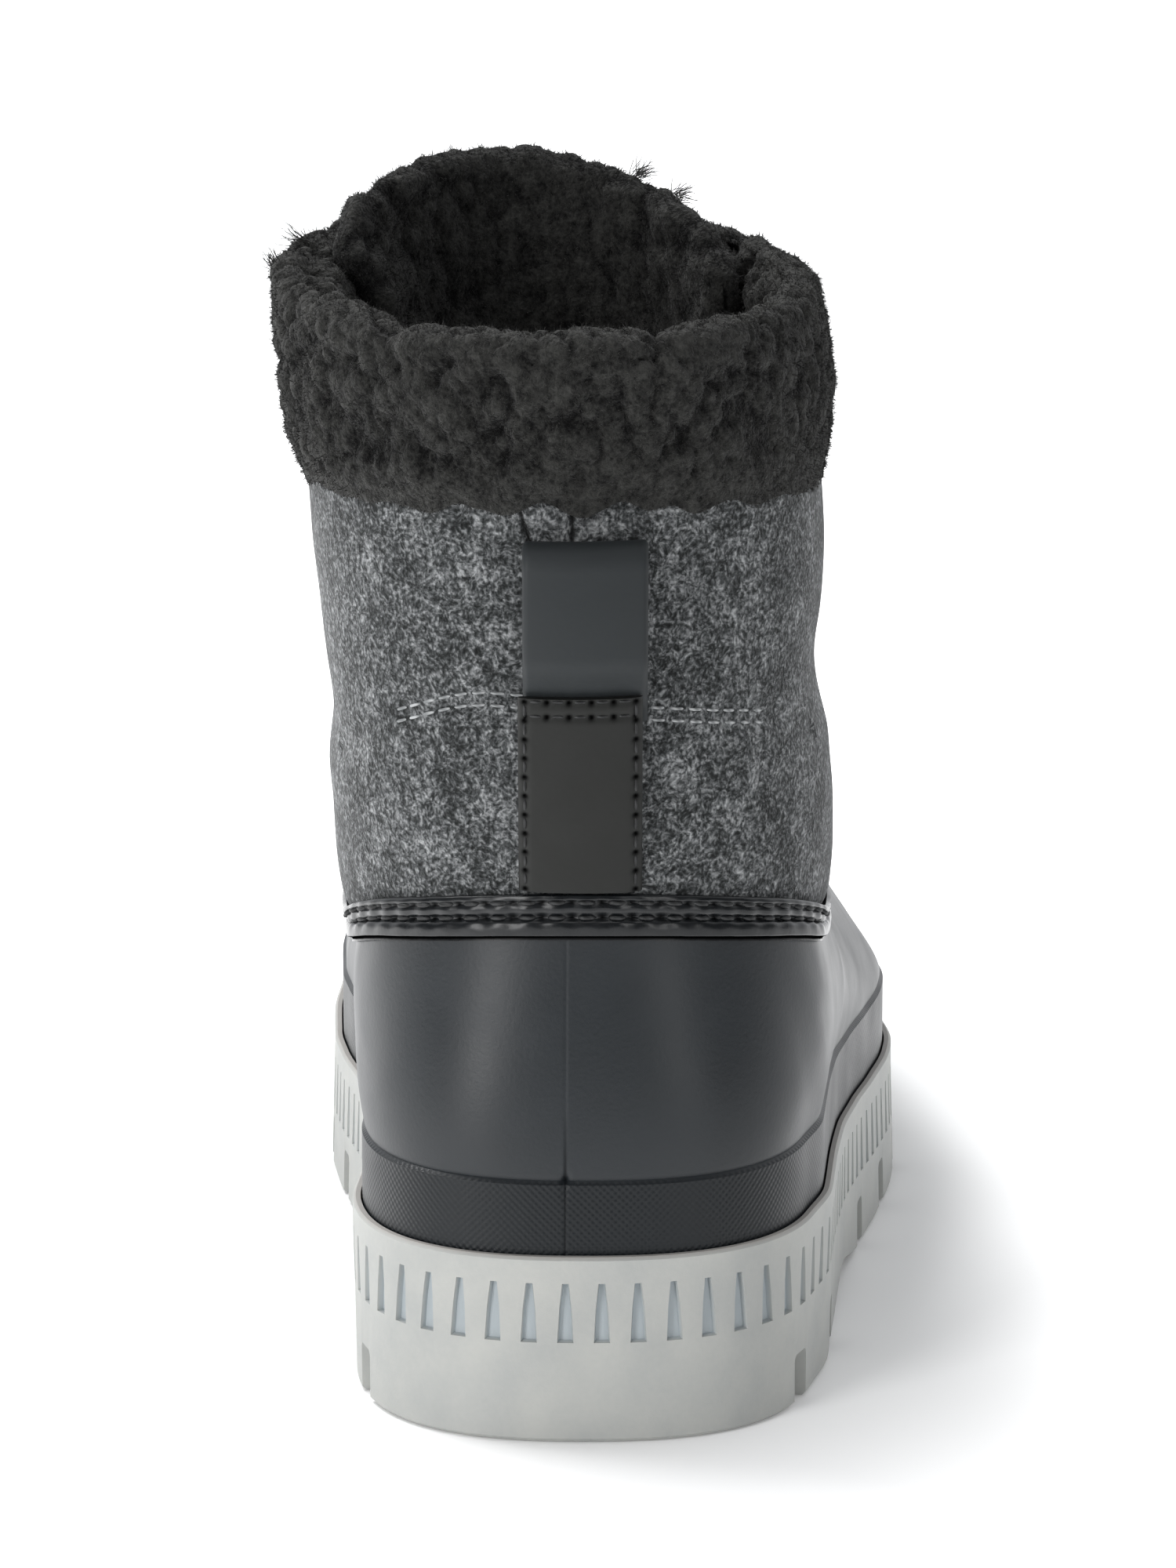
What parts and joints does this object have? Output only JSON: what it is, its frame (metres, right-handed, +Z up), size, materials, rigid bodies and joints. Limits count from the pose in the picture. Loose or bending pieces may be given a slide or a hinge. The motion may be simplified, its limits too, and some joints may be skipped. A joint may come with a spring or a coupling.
{
  "type": "duck boot",
  "caption": "Right winter duck boot: black rubber shell, grey felt shaft, fleece cuff and tongue, light grey lugged cup sole.",
  "frame": {"origin": "on the floor, under the middle of the whole boot's box", "axes": "+Y from heel to toe, +Z up, +X to the lateral (outer) side of a right boot"},
  "size_m": [0.1078, 0.2722, 0.1959],
  "materials": {
    "grey_rubber": "matte moulded, light grey",
    "black_rubber": "satin moulded, black",
    "grey_felt": "marled wool felt, grey",
    "black_fleece": "curly fleece pile, black",
    "black_leatherette": "coated synthetic leather, black, stitched",
    "black_metal": "blackened, satin",
    "black_cord": "round braided lace, black"
  },
  "bodies": {
    "root": {"outsole": "grey_rubber", "insole": "black_fleece", "rubber_shell": "black_rubber", "felt_shaft": "grey_felt", "seam_band": "black_leatherette", "fleece_cuff": "black_fleece", "tongue": "black_fleece", "heel_strap": "black_leatherette", "pull_loop": "black_leatherette", "eyestay_lateral": "black_leatherette", "eyestay_medial": "black_leatherette", "lace": "black_cord", "eyelet_lateral_1": "black_metal", "eyelet_lateral_2": "black_metal", "eyelet_lateral_3": "black_metal", "eyelet_lateral_4": "black_metal", "eyelet_medial_1": "black_metal", "eyelet_medial_2": "black_metal", "eyelet_medial_3": "black_metal", "eyelet_medial_4": "black_metal"}
  },
  "joints": []
}
